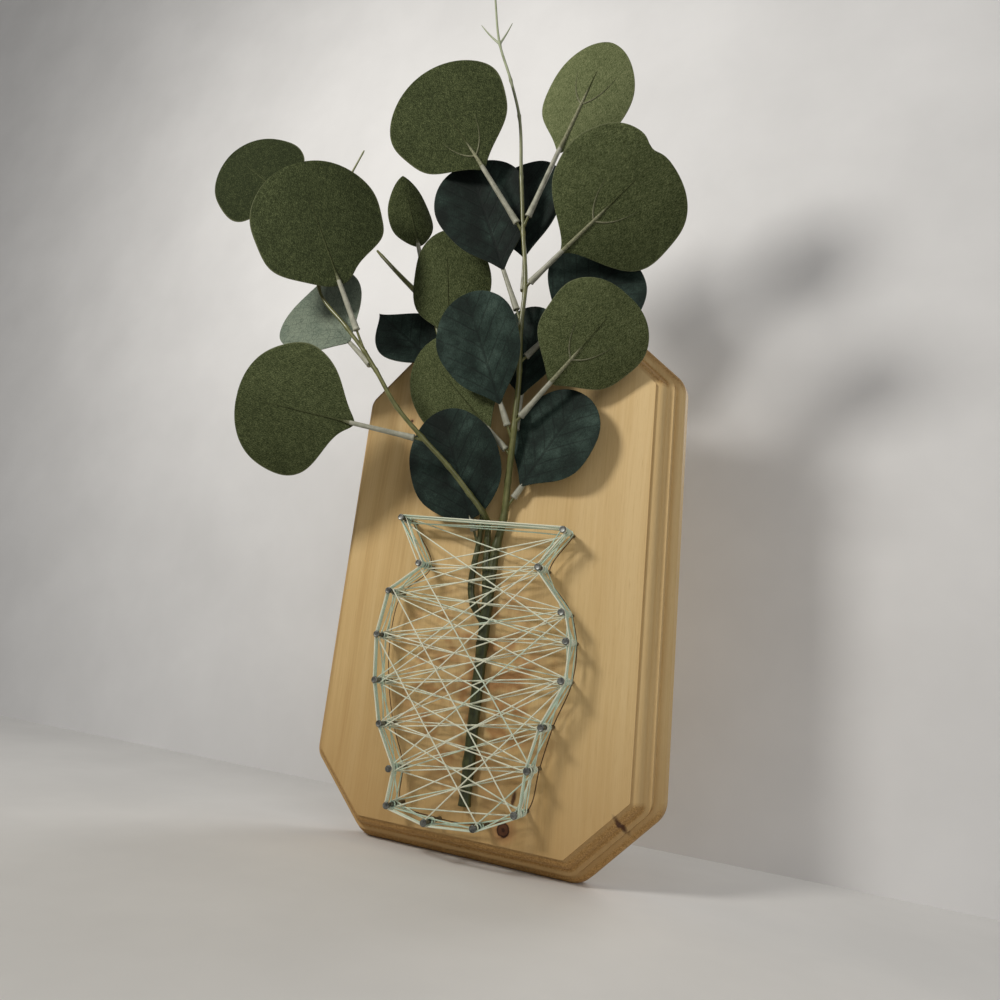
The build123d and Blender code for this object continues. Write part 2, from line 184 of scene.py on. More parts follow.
class Field:
    # an output in a node tree; reckoning with it adds nodes

    def __init__(self, tree, socket):
        self.tree, self.socket = tree, socket

    def maths(self, operation, other=0.0):
        return field(self.tree, "Math", {0: self, 1: other}, operation=operation)

    def __add__(self, other):
        return self.maths("ADD", other)

    def __sub__(self, other):
        return self.maths("SUBTRACT", other)

    def __mul__(self, other):
        return self.maths("MULTIPLY", other)

    def __truediv__(self, other):
        return self.maths("DIVIDE", other)

    def parts(self):
        return [Field(self.tree, socket) for socket in put(self.tree, "SeparateXYZ", {0: self}).outputs]

    def noise(self, scale, detail, roughness):
        inputs = {"Vector": self, "Scale": scale, "Detail": detail, "Roughness": roughness}
        return field(self.tree, "TexNoise", inputs, "Fac")

    def stretched(self, scale, detail, roughness, turn=0.0):
        # noise with its own scale along each axis
        inputs = {"Vector": self, "Scale": scale, "Rotation": (0, 0, turn)}
        return field(self.tree, "Mapping", inputs).noise(1.0, detail, roughness)

    def remap(self, low, high, toLow=0.0, toHigh=1.0):
        inputs = {"Value": self, "From Min": low, "From Max": high, "To Min": toLow, "To Max": toHigh}
        return field(self.tree, "MapRange", inputs)

    def ramp(self, spots, colours):
        made = put(self.tree, "ValToRGB", {"Fac": self})
        stops = made.color_ramp.elements
        while len(stops) < len(spots):
            stops.new(0.5)
        for stop, spot, colour in zip(stops, spots, colours):
            stop.position, stop.color = spot, (*colour, 1)
        return Field(self.tree, made.outputs["Color"])

    def mix(self, factor, other):
        # this colour, going over to the other one as the factor rises to 1
        other = other if isinstance(other, Field) else (*other, 1)
        return field(self.tree, "Mix", {0: factor, 6: self, 7: other}, 2, data_type="RGBA")

    def into(self, node, name):
        self.tree.links.new(self.socket, node.inputs[name])


def distance(a, b):
    return (a * a + b * b).maths("SQRT")


def objectSpot(tree):
    return field(tree, "TexCoord", out="Object")


def ownUv(tree):
    return field(tree, "UVMap", out="UV", uv_map="UVMap")


def attribute(tree, name):
    return field(tree, "Attribute", out="Fac", attribute_name=name)


def finishLook(shader, colour, height, relief, roughness=None):
    # relief is (strength, depth in metres)
    colour.into(shader, "Base Color")
    if roughness is not None:
        roughness.into(shader, "Roughness")
    inputs = {"Height": height, "Strength": relief[0], "Distance": relief[1]}
    field(colour.tree, "Bump", inputs).into(shader, "Normal")


def srgb(r, g, b):
    # 0..255 display values to linear
    c = np.array([r, g, b]) / 255
    return tuple(np.where(c <= 0.04045, c / 12.92, ((c + 0.055) / 1.055) ** 2.4))


woodLook = {
    "pale": srgb(216, 188, 138), "body": srgb(202, 171, 118), "late": srgb(181, 146, 95),
    # scale across, out and up, detail and roughness of each layer of the grain
    "sway": ((9, 9, 3.2), 2, 0.55), "bands": ((150, 55, 2.4), 5, 0.62), "broad": ((26, 14, 1.2), 3, 0.5),
    "fine": ((1900, 1300, 38), 3, 0.6), "pores": ((3400, 2600, 160), 2, 0.5),
    "swayBy": 0.016, "fineBy": 0.26, "poreDark": 0.35,
    # knots as (across, up, radius) in mm, and how far they push the grain aside
    "knots": [(18.4, -87.5, 2.4), (-41.0, 62.0, 0.7)], "knotPush": 0.6,
    "knot": (srgb(92, 58, 39), srgb(57, 34, 23)), "knotHalo": srgb(166, 118, 76),
    # pitch streaks as (across, up, half length, half width) in mm and a tilt in degrees
    "streaks": [(57.6, -79.6, 3.8, 1.0, -60.0), (21.1, -77.0, 3.4, 0.9, 80.0)], "streak": srgb(66, 34, 24),
    "end": (srgb(134, 95, 45), srgb(188, 148, 90)), "endShare": 0.85,
    # painted shade: the board turns darker and browner towards its foot, standing in for the light falling
    # off down the board
    "low": srgb(174, 137, 86), "footShadeShare": 0.6, "footShadeFade": (-98.0, -40.0),        # browner foot, fading upwards
    # stain tone and patch behind the web: partly real brown blotches, partly painted shade from the web and
    # spray
    "stainAndShade": srgb(166, 118, 74), "stainAndShadeShare": 0.8, "stainAndShadeSpot": (0, -42, 46),   # patch: across, up, reach
}


def farFrom(where, across, up, tilt=0.0):
    # offsets in mm from a spot on the face, turned by tilt
    x, z = where.parts()[::2]
    dx, dz = (x - across * mm) * 1000, (z - (middleZ + up * mm)) * 1000
    c, s = np.cos(np.radians(tilt)), np.sin(np.radians(tilt))
    return dx * c + dz * s, dz * c - dx * s


def makeWood():
    look = woodLook
    material, tree, shader = startMaterial("bareSoftwood", Specular_IOR_Level=0.22)
    where = objectSpot(tree)
    x, y, z = where.parts()
    facingY, facingZ = field(tree, "TexCoord", out="Normal").parts()[1:]
    # distance from the nearest knot over its radius, and the push that parts the grain round the knots
    near, swayed = None, x + (where.stretched(*look["sway"]) - 0.5) * look["swayBy"]
    for across, up, radius in look["knots"]:
        dx, dz = farFrom(where, across, up)
        share = distance(dx, dz) / radius
        near = near.maths("MINIMUM", share) if near else share
        swayed = swayed - dx * (share * -0.5).maths("EXPONENT") * (look["knotPush"] * mm)
    # growth rings met nearly flat: uneven bands that run up the board
    grained = field(tree, "CombineXYZ", {0: swayed, 1: y, 2: z})
    layers = ("bands", "broad", "fine", "pores")
    bands, broad, fine, pores = (grained.stretched(*look[layer]) for layer in layers)
    tone = bands * 0.5 + broad * 0.5 + (fine - 0.5) * look["fineBy"]
    tones = [look[shade] for shade in ("late", "body", "pale", "body")]
    colour = tone.ramp((0.28, 0.46, 0.66, 0.8), tones)
    colour = colour.mix(pores.remap(0.6, 0.75, 0.0, look["poreDark"]), look["late"])
    # patch behind the web: soft brown blotches, partly real stain and partly painted shade where the web and
    # spray shade the board, on the front face only
    across, up, reach = look["stainAndShadeSpot"]
    dx, dz = farFrom(where, across, up)
    patch = distance(dx, dz * 0.8).remap(0.45 * reach, 0.85 * reach, 1.0, 0.0)
    patch = patch * facingY.remap(-0.9, -0.6, look["stainAndShadeShare"], 0.0)
    colour = colour.mix(patch * where.noise(150, 2, 0.5).remap(0.46, 0.66), look["stainAndShade"])
    # painted shade: the colour darkens towards the foot and fades out upwards
    foot, clear = (middleZ + up * mm for up in look["footShadeFade"])
    colour = colour.mix(z.remap(foot, clear, look["footShadeShare"], 0.0), look["low"])
    # end grain on the cut ends and the clipped corners is darker and rougher
    ends = facingZ.maths("ABSOLUTE").remap(0.02, 0.36)
    speck = where.noise(1500, 4, 0.7) * 0.45 + where.noise(2800, 2, 0.6) * 0.55
    colour = colour.mix(ends * look["endShare"], speck.ramp((0.42, 0.58), look["end"]))
    # knots: a halo, a ring and a brown heart
    rings = where.noise(700, 3, 0.6) - 0.5
    ragged = near + rings * 0.35
    colour = colour.mix(near.remap(1.0, 2.4, 0.7, 0.0), look["knotHalo"])
    heart = (ragged * 9.0).maths("SINE").ramp((0.1, 0.9), look["knot"])
    colour = colour.mix(ragged.remap(0.92, 1.1, 1.0, 0.0), heart)
    # thin dark pitch streaks
    for across, up, half, thin, tilt in look["streaks"]:
        dx, dz = farFrom(where, across, up, tilt)
        gap = distance(dx / half, dz / thin) + rings * 0.9
        colour = colour.mix(gap.remap(0.5, 1.15, 0.9, 0.0), look["streak"])
    height = fine * 0.5 - pores * 0.35 + bands * 0.35 + ends * speck * 2.0
    finishLook(shader, colour, height, (0.4, 0.00025), tone.remap(0.3, 0.75, 0.66, 0.5))
    return material


# the drawn line, the midribs and the cut edges of the blades, the cut edges painted pale as a highlight along
# the rim; noise is scale, detail and roughness
speckledLook = {
    "drawnLine": {"specular": 0.25, "noise": (900, 4, 0.7), "spots": (0.35, 0.7), "rough": (0.5, 0.75),
                  "tones": (srgb(52, 38, 26), srgb(104, 80, 54)), "relief": (0.3, 0.00004)},
    "ribFelt": {"specular": 0.08, "noise": (1800, 3, 0.6), "spots": (0.36, 0.64), "rough": (0.92, 0.8),
                "tones": (srgb(104, 105, 82), srgb(146, 146, 120)), "relief": (0.4, 0.0002),
                "onBlade": (srgb(40, 46, 24), srgb(70, 76, 46))},
    # painted highlight: the cut edge is paler than the blade, standing in for the light caught along the rim
    "leafCutHighlight": {"specular": 0.08, "noise": (2200, 3, 0.6), "spots": (0.36, 0.64), "rough": (0.95, 0.82),
                "tones": (srgb(70, 74, 50), srgb(116, 117, 90)), "relief": (0.4, 0.0001)},
}


def makeSpeckled(name):
    # one noise field drives colour, roughness and relief; the onBlade tones take over as that attribute rises
    look = speckledLook[name]
    material, tree, shader = startMaterial(name, Specular_IOR_Level=look["specular"])
    grain = objectSpot(tree).noise(*look["noise"])
    colour = grain.ramp(look["spots"], look["tones"])
    if "onBlade" in look:
        colour = colour.mix(attribute(tree, "onBlade"), grain.ramp(look["spots"], look["onBlade"]))
    finishLook(shader, colour, grain, look["relief"], grain.remap(0.3, 0.7, *look["rough"]))
    return material


# steel: dark and light tone, least and greatest roughness, scale of the drawing marks
steelLook = {
    "nailSteel": ((srgb(66, 68, 67), srgb(146, 148, 144)), (0.34, 0.52), (900, 900, 900)),
    "platedSheet": ((srgb(140, 134, 118), srgb(190, 184, 168)), (0.3, 0.48), (40, 900, 900)),
    "bradSteel": ((srgb(112, 108, 100), srgb(176, 172, 162)), (0.26, 0.44), (700, 700, 700)),
}


def makeSteel(name):
    # stains and drawing marks set the tone, the marks alone the gloss and the relief
    tones, rough, scale = steelLook[name]
    material, tree, shader = startMaterial(name, Metallic=1.0, Specular_IOR_Level=0.5)
    where = objectSpot(tree)
    marks = where.stretched(scale, 3, 0.6)
    colour = (marks * 0.4 + where.noise(420, 4, 0.6) * 0.6).ramp((0.35, 0.62), tones)
    finishLook(shader, colour, marks, (0.25, 0.00005), marks.remap(0.3, 0.7, *rough))
    return material


# cotton: three plies, one turn in each lay (mm); drift is the slow change from mint to cream along the
# thread, partly its own colour and partly painted highlight
threadLook = {"mint": srgb(188, 214, 194), "pale": srgb(236, 236, 214), "shade": srgb(148, 170, 150),
              "fuzz": srgb(242, 243, 228), "ply": 3, "lay": 1.9,
              "drift": ((0, 9, 0), 3, 0.6), "fluff": ((14, 5200, 0), 3, 0.6)}


def makeThread(name, turns):
    # turns: where along the drift the colour goes from mint to cream
    look = threadLook
    material, tree, shader = startMaterial(name, Roughness=0.82, Sheen_Weight=0.2, Sheen_Roughness=0.5,
                                           Specular_IOR_Level=0.25)
    line = ownUv(tree)
    girth, along = line.parts()[:2]
    # plies: bands that climb round the thread as it runs on
    ply = ((girth + along * (1 / (look["lay"] * mm))) * (fullTurn * look["ply"])).maths("SINE")
    fluff = line.stretched(*look["fluff"])
    colour = line.stretched(*look["drift"]).ramp(turns, (look["mint"], look["pale"]))
    # painted shade: the grooves between the plies are darkened towards the shade tone
    colour = colour.mix(ply.remap(-1.0, 0.2, 0.4, 0.0), look["shade"])
    colour = colour.mix(fluff.remap(0.45, 0.8, 0.0, 0.3), look["fuzz"])
    finishLook(shader, colour, ply + fluff * 0.4, (0.4, 0.00006))
    return material


# stems and stalks; each set of tones after the first takes over between two heights (mm over the middle)
mouldedLook = {
    "mouldedStem": {"streak": ((9, 60, 0), 4, 0.6), "streakShare": 0.6, "mottle": (260, 4, 0.6),
                    "spots": (0.32, 0.5, 0.7), "rough": (0.32, 0.5), "relief": (0.35, 0.0002),
                    # the stem's first tones, low in the pocket, are painted shade: the stem darkened where it
                    # stands behind the web
                    "tones": [(srgb(31, 36, 14), srgb(50, 57, 24), srgb(80, 86, 42)),
                              (srgb(62, 64, 30), srgb(94, 96, 50), srgb(132, 130, 84)),
                              (srgb(104, 112, 84), srgb(140, 148, 120), srgb(170, 176, 152))],
                    "fades": [(-5.0, 30.0), (140.0, 205.0)]},
    "stalkPlastic": {"streak": ((6, 90, 0), 3, 0.6), "streakShare": 0.5, "mottle": (330, 4, 0.6),
                     "spots": (0.34, 0.5, 0.68), "rough": (0.42, 0.6), "relief": (0.25, 0.00015),
                     "tones": [(srgb(112, 112, 98), srgb(148, 148, 132), srgb(180, 179, 164))], "fades": []},
}


def makeMoulded(name, **sockets):
    # streaks along the piece and mottling set the tone
    look = mouldedLook[name]
    material, tree, shader = startMaterial(name, **sockets)
    where = objectSpot(tree)
    mottle = where.noise(*look["mottle"])
    streak = ownUv(tree).stretched(*look["streak"])
    tone = streak * look["streakShare"] + mottle * (1 - look["streakShare"])
    colour, *later = (tone.ramp(look["spots"], tones) for tones in look["tones"])
    # by height: for the stem, painted shade in the pocket gives way to its own olive and a paler top
    for tones, heights in zip(later, look["fades"]):
        colour = colour.mix(((where.parts()[2] - middleZ) * 1000).remap(*heights), tones)
    finishLook(shader, colour, tone, look["relief"], mottle.remap(0.3, 0.7, *look["rough"]))
    return material


# blades: fibres and patches are scale, detail, roughness and turn; lengths in mm
leafLook = {
    "unit": 50.0, "veinPitch": 6.2, "veinRise": 1.15, "veinBow": 0.012, "veinWander": 1.4,
    "fibres": [((230, 60, 1), 3, 0.65, 0.95), ((215, 54, 1), 3, 0.65, 1.3)],
    "patches": ((34, 18, 1), 2, 0.5, 1.1), "spots": (0.36, 0.53, 0.7, 0.95),
}
underLook = {"tones": [srgb(32, 38, 21), srgb(61, 68, 41), srgb(95, 103, 69), srgb(130, 134, 98)],
             "vein": srgb(140, 142, 104), "edge": srgb(124, 127, 98), "specular": 0.08, "rough": (0.92, 0.78),
             "fibre": 0.76, "ground": 0.15, "cloud": 0.14, "veinHeight": 0.9}
# the last upper tone, reached only by the most tinted leaf, is a painted sheen: an upper face seen at a
# grazing angle
upperLook = {"tones": [srgb(9, 19, 15), srgb(28, 43, 37), srgb(60, 78, 70), srgb(134, 144, 126)],
             "vein": srgb(9, 17, 14), "specular": 0.16, "rough": (0.7, 0.52), "fibre": 0.22, "ground": 0.41,
             "cloud": 0.74, "veinHeight": -0.8, "veinShown": 0.8, "net": 24.0}


def leafGround(line):
    # short felted fibres: two noise fields drawn out along slightly crossed directions, a speck, soft patches
    one, two = (line.stretched(*fibres) for fibres in leafLook["fibres"])
    speck, patches = line.noise(210, 2, 0.6), line.stretched(*leafLook["patches"])
    return (one.maths("MAXIMUM", two) * 0.6 + speck * 0.3 + patches * 0.1).remap(0.38, 0.68)


def leafVeins(line):
    # 1 on a line: the midrib, and pinnate lines where along - rise * across + bow * across^2 meets the pitch
    u, v = line.parts()[:2]
    pitch = leafLook["veinPitch"]
    across, along = ((u - 0.5) * leafLook["unit"]).maths("ABSOLUTE"), v * leafLook["unit"]
    climb = along - across * (across * -leafLook["veinBow"] + leafLook["veinRise"])
    climb = climb + (line.noise(9, 2, 0.5) - 0.5) * leafLook["veinWander"]
    gap = ((climb / pitch).maths("FRACT") - 0.5).maths("ABSOLUTE") * pitch
    side = gap.remap(0.15, 0.62, 1.0, 0.0) * across.remap(4.0, 24.0, 1.0, 0.25)
    midrib = across.remap(0.25, 0.8, 1.0, 0.0) * along.remap(20.0, 48.0, 1.0, 0.2)
    return side.maths("MAXIMUM", midrib)


def makeBlade(name, look):
    material, tree, shader = startMaterial(name, Specular_IOR_Level=look["specular"])
    line, tintAndLight = ownUv(tree), attribute(tree, "tintAndLight")
    fibre = height = leafGround(line)
    if "net" in look:
        # leaves made lighter, by their own paleness and by painted light, show the veins and clouds of their
        # upper face less
        shown, cloud = tintAndLight * -1.7 + look["veinShown"], tintAndLight * -1.4 + look["cloud"]
    else:
        shown, cloud = attribute(tree, "ribs"), look["cloud"]
    vein = leafVeins(line) * shown
    # the tint moves each leaf's tone up and down: partly its own tone, partly painted light and shade for how
    # the lamp falls on that leaf
    tone = fibre * look["fibre"] + tintAndLight + look["ground"] + (line.noise(4.5, 4, 0.55) - 0.5) * cloud
    colour = tone.ramp(leafLook["spots"], look["tones"])
    if "net" in look:
        inputs = {"Vector": line, "Scale": look["net"], "Randomness": 0.9}
        cells = field(tree, "TexVoronoi", inputs, "Distance", feature="DISTANCE_TO_EDGE")
        net = cells.remap(0.0, 0.06, 0.4, 0.0)
        colour = colour.mix(net, look["tones"][0])
        height = fibre - net * 0.5
    colour = colour.mix(vein * 0.7, look["vein"])
    if "edge" in look:
        colour = colour.mix(attribute(tree, "edge") * 0.5, look["edge"])
    height = height + vein * look["veinHeight"]
    finishLook(shader, colour, height, (0.45, 0.00025), fibre.remap(0.3, 0.7, *look["rough"]))
    return material


wood = makeWood()
pencil, ribFelt, leafCutHighlight = (makeSpeckled(name) for name in speckledLook)
nailSteel, hangerSteel, bradSteel = (makeSteel(name) for name in steelLook)
# one cotton in two copies: the outline's crowded laps stay mint longer, as painted shade, and the web's
# strands turn cream sooner, as painted light
mintCotton = makeThread("mintCotton", (0.46, 0.8))
creamCotton = makeThread("creamCotton", (0.3, 0.5))
stemGreen = makeMoulded("mouldedStem", Coat_Weight=0.2, Coat_Roughness=0.25)
stalkPale = makeMoulded("stalkPlastic")
leafUnder = makeBlade("leafUnderside", underLook)
leafUpper = makeBlade("leafUpper", upperLook)
for node, material in (("plaque", wood), ("sawtooth_hanger", hangerSteel), ("hanger_brads", bradSteel)):
    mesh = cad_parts[node].data
    mesh.materials.clear()
    mesh.materials.append(material)
print("materials made")


# nails: a lathed wire nail with a flat, softly dished head and grip rings, repeated at each (across, up)
nailSpots = np.array([
    (-32.0, 18.0), (-21.5, 0.5), (-33.0, -10.5), (-35.5, -27.0), (-33.5, -43.5), (-29.0, -58.5),
    (-22.5, -73.0), (-21.5, -85.0), (-6.0, -88.0), (12.5, -86.5), (26.5, -80.0), (29.5, -66.0),
    (33.0, -52.0), (38.5, -36.5), (39.0, -23.5), (36.5, -14.0), (26.5, 1.0), (34.5, 14.5)])
nail = {"shank": 0.75, "head": 1.25, "headHeight": 0.8, "proud": 12.3, "sunk": 0.6, "sides": 24,
        "grips": 9, "gripPitch": 0.28, "gripDepth": 0.06, "gripsUnder": 3.2, "dish": 0.1}


def makeNails():
    # profile (radius, height off the face) turned about the nail's own line
    top, sunk, sides, deep = nail["proud"], nail["sunk"], nail["sides"], nail["proud"] - nail["dish"]
    shank, head, foot = nail["shank"], nail["head"], nail["proud"] - nail["headHeight"]
    grips = [(shank - nail["gripDepth"] * (k % 2), foot - nail["gripsUnder"] + nail["gripPitch"] * k)
             for k in range(nail["grips"])]
    neck = [(shank, foot - 0.25), (shank + 0.2, foot + 0.02), (head - 0.12, foot + 0.08), (head, foot + 0.24)]
    crown = [(head, top - 0.3), (head - 0.07, top - 0.12), (head - 0.2, top - 0.02), (head - 0.32, top)]
    hollow = [(head - 0.44, top - 0.06), (head * 0.4, deep), (0.03, deep)]
    profile = np.array([(shank, -sunk), *grips, *neck, *crown, *hollow])
    angle = ringAngles(sides)
    r, h = profile[:, :1], profile[:, 1:]
    faces, corners = gridFaces(len(profile), sides, True)
    faces = list(faces) + endFans(len(profile), sides)
    uv = np.concatenate([corners.reshape(-1, 2) / 10.0, np.zeros((6 * sides, 2))])
    parts = []
    for across, up in nailSpots:
        rings = np.stack([across + r * np.cos(angle), h + 0 * angle, up + r * np.sin(angle)], -1)
        ends = place([[across, -sunk, up], [across, deep, up]])
        parts.append((np.vstack([place(rings).reshape(-1, 3), ends]), faces, uv))
    points, faces, uv = joinParts(parts)
    piece = addPiece("nailSet", "vase", points, faces, [nailSteel], uv)
    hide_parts("nails")


# the guide line is drawn through the right nails and a little outside the left ones
drawn = {"half": 0.2, "proud": 0.03, "sides": 12, "aside": 1.3, "step": 0.8}


def drawGuide():
    # a flat oval section, a hair proud of the face, carried along a curve through the nails
    aside = np.where(nailSpots[:, 0] < 0, drawn["aside"], 0)
    knots = np.stack([nailSpots[:, 0] - aside, 0 * aside, nailSpots[:, 1]], -1)
    path = smoothPath(knots, drawn["step"])[0]
    angle = ringAngles(drawn["sides"])
    oval = 1 / np.sqrt((np.cos(angle) / drawn["half"]) ** 2 + (np.sin(angle) / drawn["proud"]) ** 2)
    points, faces, uv = tube(place(path), np.tile(oval * mm, (len(path), 1)), drawn["sides"])
    piece = addPiece("guideLine", "vase", points, faces, [pencil], uv)


makeNails()
drawGuide()
print("nails and guide line made")


# thread: straight runs between nails, arcs round them, soft climbs between levels (mm off the face)
thread = {
    "radius": 0.265, "laidFor": 0.3, "ease": 0.03,          # the runs clear the nails by laidFor and ease
    "core": 0.93, "lobe": 0.07, "sides": 9, "step": 0.62,   # three-lobed section, length between rings
    "webStart": 4.9, "pitch": 1.02, "weaveLevels": (6.0, 7.7), "plainLevels": (9.3, 10.15), "loopRise": 0.62,
    "climbLead": 1.0, "climbRun": 12.0, "arcSteps": 25, "climbSteps": 11,
}
wrapRadius = nail["shank"] + thread["laidFor"] + thread["ease"]


def threadRoute(visits, levels, loops):
    # tangent runs: the bearing of each run follows from the turning sense at its two nails;
    # where loops is 1 or -1 the thread passes on that side and goes once round the nail as well
    spots = nailSpots[visits]
    run = np.diff(spots, axis=0)
    into, away = run[:-1], run[1:]
    sense = np.where(into[:, 0] * away[:, 1] - into[:, 1] * away[:, 0] > 0, 1.0, -1.0)
    sense = np.concatenate([sense[:1], sense, sense[-1:]])
    sense = np.where(loops == 0, sense, loops)
    crossing = np.arcsin((sense[:-1] - sense[1:]) * wrapRadius / np.linalg.norm(run, axis=1))
    bearing = np.arctan2(run[:, 1], run[:, 0]) + crossing
    arrive = np.append(bearing[0] - sense[0] * np.pi, bearing)
    leave = np.append(bearing, bearing[-1] + sense[-1] * np.pi)
    turn = (leave - arrive) * sense % fullTurn
    turn = np.where(turn > fullTurn - 0.02, 0, turn)
    turn = np.where((loops != 0) & (turn < np.pi), turn + fullTurn, turn)
    # arcs: each visit's turn in equal steps, a loop climbing as it goes
    share = np.linspace(0, 1, thread["arcSteps"])
    side = arrive[:, None] + (sense * turn)[:, None] * share - sense[:, None] * np.pi / 2
    high = levels[:, None] + thread["loopRise"] * np.abs(loops)[:, None] * (share - 0.5)
    across, up = spots[:, :1] + wrapRadius * np.cos(side), spots[:, 1:] + wrapRadius * np.sin(side)
    arc = np.stack([across, high, up], -1)
    # runs: a cosine climb soon after the nail where the level changes
    first, last = arc[:-1, -1], arc[1:, 0]
    length = np.linalg.norm((last - first)[:, [0, 2]], axis=1)
    climbRun = np.minimum(thread["climbRun"], length - 2 * thread["climbLead"])[:, None]
    share = np.linspace(0, 1, thread["climbSteps"])
    gone = thread["climbLead"] + climbRun * share
    path = first[:, None] + (last - first)[:, None] * (gone / length[:, None])[..., None]
    path[..., 1] = first[:, None, 1] + (last - first)[:, None, 1] * ((1 - np.cos(np.pi * share)) / 2)
    # the whole line again at even steps, without doubled points
    line = np.vstack([np.concatenate([arc[:-1], path], 1).reshape(-1, 3), arc[-1]])
    line = line[np.append(True, np.linalg.norm(np.diff(line, axis=0), axis=1) > 1e-4)]
    gone = lengthAlong(line)
    even = np.linspace(0, gone[-1], int(gone[-1] / thread["step"]))
    return np.stack([np.interp(even, gone, line[:, k]) for k in range(3)], -1), even


def layThread(name, node, visits, levels, loops, cotton):
    route, gone = threadRoute(np.array(visits), np.array(levels), np.array(loops))
    # three plies: the section's radius swells on three lobes that turn as the thread runs on
    twist = fullTurn * gone[:, None] / threadLook["lay"]
    lobes = np.cos(threadLook["ply"] * ringAngles(thread["sides"]) - twist)
    radii = thread["radius"] * mm * (thread["core"] + thread["lobe"] * lobes)
    points, faces, uv = tube(place(route), radii, thread["sides"])
    piece = addPiece(name, "vase", points, faces, [cotton], uv)
    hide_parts(node)
    print(name, "thread of", round(gone[-1] / 1000, 2), "m")


def nailNumber(count):
    # counts run down from the rim: positive on the left, negative on the right
    return count - 1 if count > 0 else len(nailSpots) + count


# outline: one lap under the web, laps that weave in and out and loop round each nail, then plain laps
around = list(range(len(nailSpots)))
weave, plain = thread["weaveLevels"], thread["plainLevels"]
lapLevels = (thread["webStart"] - thread["pitch"], *weave, *plain)
outlineLevels = [level for level in lapLevels for number in around]
outlineLoops = [0] * len(around)
outlineLoops += [1 - 2 * ((lap + number) % 2) for lap in range(len(weave)) for number in around]
outlineLoops += [0] * (len(around) * len(plain))
layThread("outlineThread", "outline_thread", around * len(lapLevels), outlineLevels, outlineLoops, mintCotton)

# web: passes from side to side, each a level above the last, and a closing lap
webPasses = [
    [1, -2, 2, -3, 3, -4, 4, -5, 5, -6, 6, -7, 7, -8],
    [8, -7, 7, -6, 6, -5, 5, -4, 4, -3, 3, -2, 2, -1, 1],
    [-1, 3, -2, 4, -3, 5, -4, 6, -5, 7, -6, 8, -7, 10],
    [-8, 6, -7, 5, -6, 4, -5, 3, -4, 1],
    [-1, 5, -2, 6, -3, 7, -5, 9],
    [10, 4, 3, -8, -7, 2, 1],
]
webNumbers = [[nailNumber(count) for count in onePass] for onePass in webPasses] + [around[1:] + [0]]
webLevels = [thread["webStart"] + thread["pitch"] * lap for lap, row in enumerate(webNumbers) for spot in row]
layThread("webThread", "web_thread", sum(webNumbers, []), webLevels, [0] * len(webLevels), creamCotton)


# spray: branches as (across, out from the face, up, radius), foot first
branches = {
    "main": [
        (4, 2.3, -82, 1.65), (4, 2.3, -40, 1.65), (4.3, 2.3, -12, 1.6), (5.5, 2.3, 10, 1.5),
        (7.5, 3.1, 20, 1.4), (9, 6.1, 33.5, 1.25), (11, 10.1, 53, 1.1), (12, 13.1, 75, 1.0),
        (12, 16.1, 92, 0.95), (13, 18.1, 107, 0.9), (11.5, 22.1, 128, 0.8), (10, 26.1, 150, 0.7),
        (8, 30.1, 175, 0.6), (3.5, 32.1, 191, 0.55), (-2.5, 34.1, 208.5, 0.5), (-6.5, 36.1, 232, 0.4)],
    "left": [
        (4.1, 2.3, -16, 1.0), (2, 2.3, 2, 1.15), (1.4, 2.3, 12, 1.1), (1.2, 3.3, 18.6, 1.05),
        (0.8, 8.1, 21.5, 1.05), (-3.2, 12.1, 27, 1.0), (-11, 17.1, 36.5, 0.95), (-20, 23.6, 46, 0.9),
        (-29.5, 29.1, 56.5, 0.85), (-38, 34.1, 70, 0.8), (-43, 36.1, 77, 0.8), (-50.5, 39.1, 86, 0.75),
        (-65.5, 42.1, 104, 0.7), (-64.5, 44.1, 124, 0.6), (-60, 44.1, 146, 0.5), (-53, 44.1, 162.5, 0.3)],
    "middle": [
        (4, 2.3, -20, 0.9), (-1.2, 2.3, -13, 1.0), (-1.9, 2.3, 16, 1.0), (-2, 3.7, 39, 0.95),
        (-11, 5.1, 59, 0.9), (-23, 7.1, 81, 0.8), (-32, 11.1, 108, 0.7), (-35.5, 13.1, 119, 0.55)],
}
# prongs without a leaf: branch, foot height, tip, radius at the foot and the tip, how much the foot flares
bareProngs = [
    ("main", 208.5, (1.3, 32.6, 219), 0.5, 0.2, 0), ("main", 208.5, (-11, 36.1, 218.5), 0.5, 0.2, 0),
    ("middle", 108, (-60.5, 16.1, 135.5), 0.65, 0.5, 1)]
spray = {"prong": 0.5, "prongLength": 4.0, "socket": 1.3, "socketGap": 0.2, "rib": 0.55, "blade": 0.5,
         "swell": 0.2, "swellReach": 1.1, "scars": (-68.0, -27.0), "scarSwell": 0.3, "scarReach": 1.4,
         "widen": 0.32, "widenUnder": 15.0, "widenOver": 20.0,   # stems are wider than deep low in the pocket
         "endShare": 0.45, "sag": 0.6, "step": 1.2, "stemSides": 16, "bareSides": 12, "prongSides": 10}

